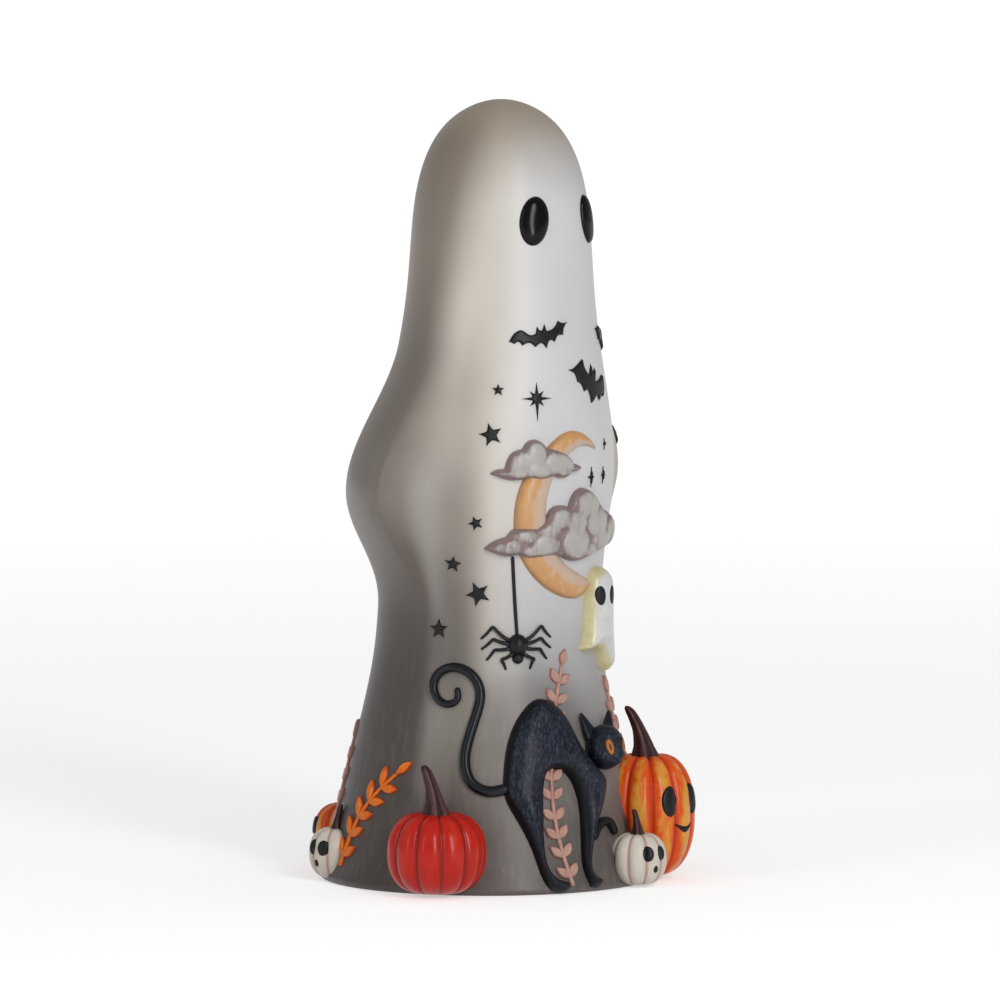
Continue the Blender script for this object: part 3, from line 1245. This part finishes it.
def pumpkinParts(fruit, middle):
    form, ribs, radius, height = pumpkinForm, fruit["ribs"], fruit["radius"], fruit["height"]
    columns, rows = ribs * form["ribSteps"], form["rows"]
    verts, rises = [], []
    for r in range(rows + 1):
        polar = math.pi * r / rows  # 0 at the crown
        ring = math.sin(polar) ** form["sideRound"]
        level = 0.5 + 0.5 * math.copysign(abs(math.cos(polar)) ** form["endRound"], math.cos(polar))
        dip = form["dimple"] * math.exp(-(ring / form["dimpleReach"]) ** 2)
        level = level - dip if level > 0.5 else level + form["footDimple"] * dip
        crownDip = form["crownGroove"] * math.exp(-(ring / form["crownReach"]) ** 2) if 2 * r < rows else 0
        for turn in turnsOf(columns):
            crest = abs(math.sin(ribs * turn / 2))
            groove = (1 - crest) ** form["grooveSharp"]
            size = radius * ring * (1 - form["groove"] * groove - form["ribRound"] * (1 - crest))
            rise = height * (level - crownDip * groove)
            verts.append(middle + np.array([size * math.cos(turn), size * math.sin(turn), rise]))
            rises.append(crest * (0.25 + 0.75 * min(1.0, ring * 1.3)))
    verts, faces, values = ringParts(verts, rises, columns, downward=True)
    verts[:, 2] = np.maximum(verts[:, 2], form["lift"])
    around = np.degrees(np.arctan2(verts[:, 0], -verts[:, 1]))
    skin = np.hypot(*bodyAt(around, verts[:, 2])[:, :2].T)
    buried = np.hypot(verts[:, 0], verts[:, 1]) < skin - form["bury"]
    return verts, [f for f in faces if not all(buried[i] for i in f)], values


def stemParts(foot, share, lean, drop):
    # ridged stalk, wide where it grips the crown, bent over at its rounded end
    form = stemForm
    verts, rises = [], []
    for t in np.linspace(0, 1, form["rings"] + 1):
        width = share * np.interp(t, *form["width"])
        rise = -drop + (form["height"] * share + drop) * t
        middle = foot + np.array([lean[0] * t ** 2, lean[1] * t ** 2, rise])
        depth = np.interp(t, [0, 1], form["ridge"])
        for side in turnsOf(form["sides"]):
            turn = side + form["twist"] * t
            wave = math.cos(form["ridges"] * turn)
            radius = width * (1 + depth * wave)
            verts.append(middle + radius * np.array([math.cos(turn), math.sin(turn), 0.0]))
            rises.append(0.5 + 0.5 * wave)
    return ringParts(verts, rises, form["sides"], closed=True)


def pumpkinFace(piece, fruit, middle):
    form = faceForm
    size = np.array([fruit["radius"], fruit["height"]])
    loops = [ellipseOf(*(fruit["eye"] * size), 0.3, (flip * fruit["apart"], form["eyeHeight"]) * size,
                       flip * form["eyeTilt"]) for flip in (-1, 1)]
    if fruit["smile"]:  # a curved grin, or else a small round mouth
        wide, high = form["grin"] * size
        ends = high + form["grinEnds"]
        loops.append(outlineOf([(0, high + form["grinLow"]), (wide, ends)],
                               [(0, high + form["grinHigh"]), (-wide, ends)], step=0.3))
    else:
        loops.append(ellipseOf(*(form["mouth"] * size), 0.25, (0, form["mouthHeight"]) * size))
    return markParts(loops, onPiece(piece, fruit["look"], middle), marks["pumpkin"])


def pumpkinPatch():
    for node, stand in pumpkins.items():
        fruit = {**pumpkinKinds[stand["kind"]], **stand}
        short = node.replace("white_pumpkin", "white")  # stems and faces are named for this
        middle = outwardOf(fruit["around"]) * fruit["out"] + np.array([0, 0, pumpkinForm["lift"]])
        piece = setPiece(node + "Fruit", pumpkinParts(fruit, middle), fruit["glaze"], node)
        drop = fruit["height"] * pumpkinForm["dimple"] + stemForm["grip"] * fruit["stem"]
        stem = stemParts(middle + np.array([0, 0, fruit["height"]]), fruit["stem"], fruit["lean"], drop)
        setPiece(short + "_stemStalk", stem, "stem", short + "_stem")
        if "look" in fruit:
            setPiece(short + "_faceMarks", pumpkinFace(piece, fruit, middle), "black", short + "_face")


pumpkinPatch()
print("pumpkins set:", len(pumpkins))

sprays = {
    "cat_leaf_spray": {"glaze": "pink", "facing": -13, "pairs": 11, "leaf": 0.95,
                       "path": [(-5.5, 3.5), (-8.5, 26.0), (-6.6, 50.0), (3.0, 85.0)]},
    "orange_leaf_spray": {"glaze": "leaf", "facing": -92, "pairs": 5, "leaf": 1.16,
                          "path": [(-20.5, 8.0), (-15.0, 24.0), (4.0, 44.0)]},
    "front_leaf_spray": {"glaze": "pink", "facing": 33, "pairs": 4, "leaf": 1.0,
                         "path": [(3, 40), (-1, 58), (-3, 72)]},
    "back_leaf_spray": {"glaze": "pink", "facing": -134, "pairs": 4, "leaf": 1.0,
                        "path": [(2, 18), (-1, 36), (-3, 54)]},
    "left_leaf_spray": {"glaze": "leaf", "facing": 58, "pairs": 5, "leaf": 1.1,
                        "path": [(2, 8), (-3, 28), (2, 50)]},
}
leafForm = {"length": 7.4, "width": {"pink": 3.875, "leaf": 3.1}, "spread": 42.0, "thickness": 1.0,
            "edge": 0.4, "rounding": 0.8, "vein": 0.25, "veinWidth": 0.3, "twig": (0.95, 0.7),
            "twigLift": 0.3, "firstLeaf": 0.35, "pastLast": 0.4}


def leafParts(spot, heading, place, length, half):
    # flat leaf, broadest past its middle, growing straight out of the twig
    edge = [(0.84, 0.52), (0.56, 1), (0.28, 0.78)]
    upper = [(along * length, across * half) for along, across in edge]
    lower = [(along, -across) for along, across in reversed(upper)]
    loop = turned(outlineOf(upper + [(0, 0)], lower + [(length, 0)], step=0.35), heading) + np.array(spot)
    angle = math.radians(heading)

    def rise(distance, flat):
        off = -(flat[:, 0] - spot[0]) * math.sin(angle) + (flat[:, 1] - spot[1]) * math.cos(angle)
        vein = leafForm["vein"] * np.exp(-(off / leafForm["veinWidth"]) ** 2) * np.clip(distance, 0, 1)
        return leafForm["edge"] + pillow(distance, leafForm["rounding"], leafForm["thickness"]) - vein

    return reliefParts(loop, place, rise, 0.4)


def leafSprays():
    for node, spray in sprays.items():
        place = onBody(spray["facing"])
        twig = splineThrough(spray["path"], 120)
        base, normal = place(twig)
        radii = np.linspace(*leafForm["twig"], len(twig))
        parts = [tubeParts(base + normal * leafForm["twigLift"], radii, 10, normal)]
        length = spray["leaf"] * leafForm["length"]
        half = spray["leaf"] * leafForm["width"][spray["glaze"]] / 2
        for i in range(spray["pairs"] + 1):
            share = (i + leafForm["firstLeaf"]) / (spray["pairs"] + leafForm["pastLast"])
            index = min(int(share * (len(twig) - 1)), len(twig) - 2)
            run = twig[index + 1] - twig[index]
            heading = math.degrees(math.atan2(run[1], run[0]))
            spreads = (leafForm["spread"], -leafForm["spread"]) if i < spray["pairs"] else (0,)
            parts += [leafParts(twig[index], heading + spread, place, length, half) for spread in spreads]
        setPiece(node + "Leaves", joinParts(parts), spray["glaze"], node)


leafSprays()
print("leaf sprays set:", len(sprays))

stage = {"floor": 60.0, "paper": 0.86, "fade": (0.2, 2.6), "nearWhite": 0.50, "farWhite": 0.72,
         "world": 0.38, "aimHeight": 0.14}
# lamps: angle round the object, distance, height, width, tallness, power
lamps = {"keyStrip": (-22, 1.7, 0.72, 0.36, 1.3, 12.5), "fillStrip": (-96, 1.7, 0.70, 0.36, 1.3, 3.2)}


def studioFloor():
    mesh = bpy.data.meshes.new("studioFloor")
    corners = [(-1, -1), (1, -1), (1, 1), (-1, 1)]
    mesh.from_pydata([(stage["floor"] * x, stage["floor"] * y, 0) for x, y in corners], [], [(0, 1, 2, 3)])
    floor = bpy.data.objects.new("studioFloor", mesh)
    bpy.context.scene.collection.objects.link(floor)
    material = bpy.data.materials.new("paleFloor")
    material.use_nodes = True
    n = Nodes(material.node_tree)
    material.node_tree.nodes.clear()
    output = n.add("ShaderNodeOutputMaterial")
    paper = n.add("ShaderNodeBsdfDiffuse")
    paper.inputs["Color"].default_value = (stage["paper"], stage["paper"], stage["paper"], 1)
    glow = n.add("ShaderNodeEmission")
    path = n.add("ShaderNodeLightPath")
    seen = n.math("MAXIMUM", n.math("MAXIMUM", path.outputs["Is Camera Ray"], path.outputs["Is Glossy Ray"]),
                  path.outputs["Is Transmission Ray"])
    away = n.add("ShaderNodeVectorMath", operation="LENGTH")
    n.link(n.place(), away.inputs[0])
    paperWhite = n.ramp(away.outputs["Value"], *stage["fade"], stage["nearWhite"], stage["farWhite"])
    n.link(n.times(seen, paperWhite), glow.inputs["Strength"])
    both = n.add("ShaderNodeAddShader")
    n.link(paper.outputs[0], both.inputs[0])
    n.link(glow.outputs[0], both.inputs[1])
    n.link(both.outputs[0], output.inputs["Surface"])
    mesh.materials.append(material)


def studioLight():
    world = bpy.data.worlds.new("studioWorld")
    bpy.context.scene.world = world
    world.use_nodes = True
    sky = world.node_tree.nodes["Background"]
    sky.inputs["Color"].default_value = (1, 1, 1, 1)
    sky.inputs["Strength"].default_value = stage["world"]
    for name, (around, distance, height, width, tallness, power) in lamps.items():
        lamp = bpy.data.lights.new(name, "AREA")
        lamp.shape = "RECTANGLE"
        lamp.size = width
        lamp.size_y = tallness
        lamp.energy = power
        holder = bpy.data.objects.new(name, lamp)
        holder.location = Vector(outwardOf(around) * distance) + Vector((0, 0, height))
        aim = Vector((0, 0, stage["aimHeight"])) - holder.location
        holder.rotation_euler = aim.to_track_quat("-Z", "Y").to_euler()
        bpy.context.scene.collection.objects.link(holder)


photoView = {"azimuth": -48.0, "elevation": 4.2, "distance": 3.0, "lens": 280.8, "sensor": 36.0,
             "far": 200.0, "aimHeight": 0.1454, "aside": 0.0048}


def photoCamera():
    turn, tip = math.radians(photoView["azimuth"]), math.radians(photoView["elevation"])
    back = Vector((math.sin(turn) * math.cos(tip), -math.cos(turn) * math.cos(tip), math.sin(tip)))
    right = Vector((math.cos(turn), math.sin(turn), 0))
    up = back.cross(right)
    aim = Vector((0, 0, photoView["aimHeight"])) + right * photoView["aside"]
    lens = bpy.data.cameras.new("photoCamera")
    lens.sensor_width = photoView["sensor"]
    lens.lens = photoView["lens"]
    lens.clip_end = photoView["far"]
    camera = bpy.data.objects.new("photoCamera", lens)
    camera.matrix_world = Matrix.Translation(aim + back * photoView["distance"]) @ Matrix(
        (right, up, back)).transposed().to_4x4()
    bpy.context.scene.collection.objects.link(camera)
    bpy.context.scene.camera = camera


studioFloor()
studioLight()
photoCamera()
bpy.context.scene.view_settings.view_transform = "Standard"
print("studio and camera ready")
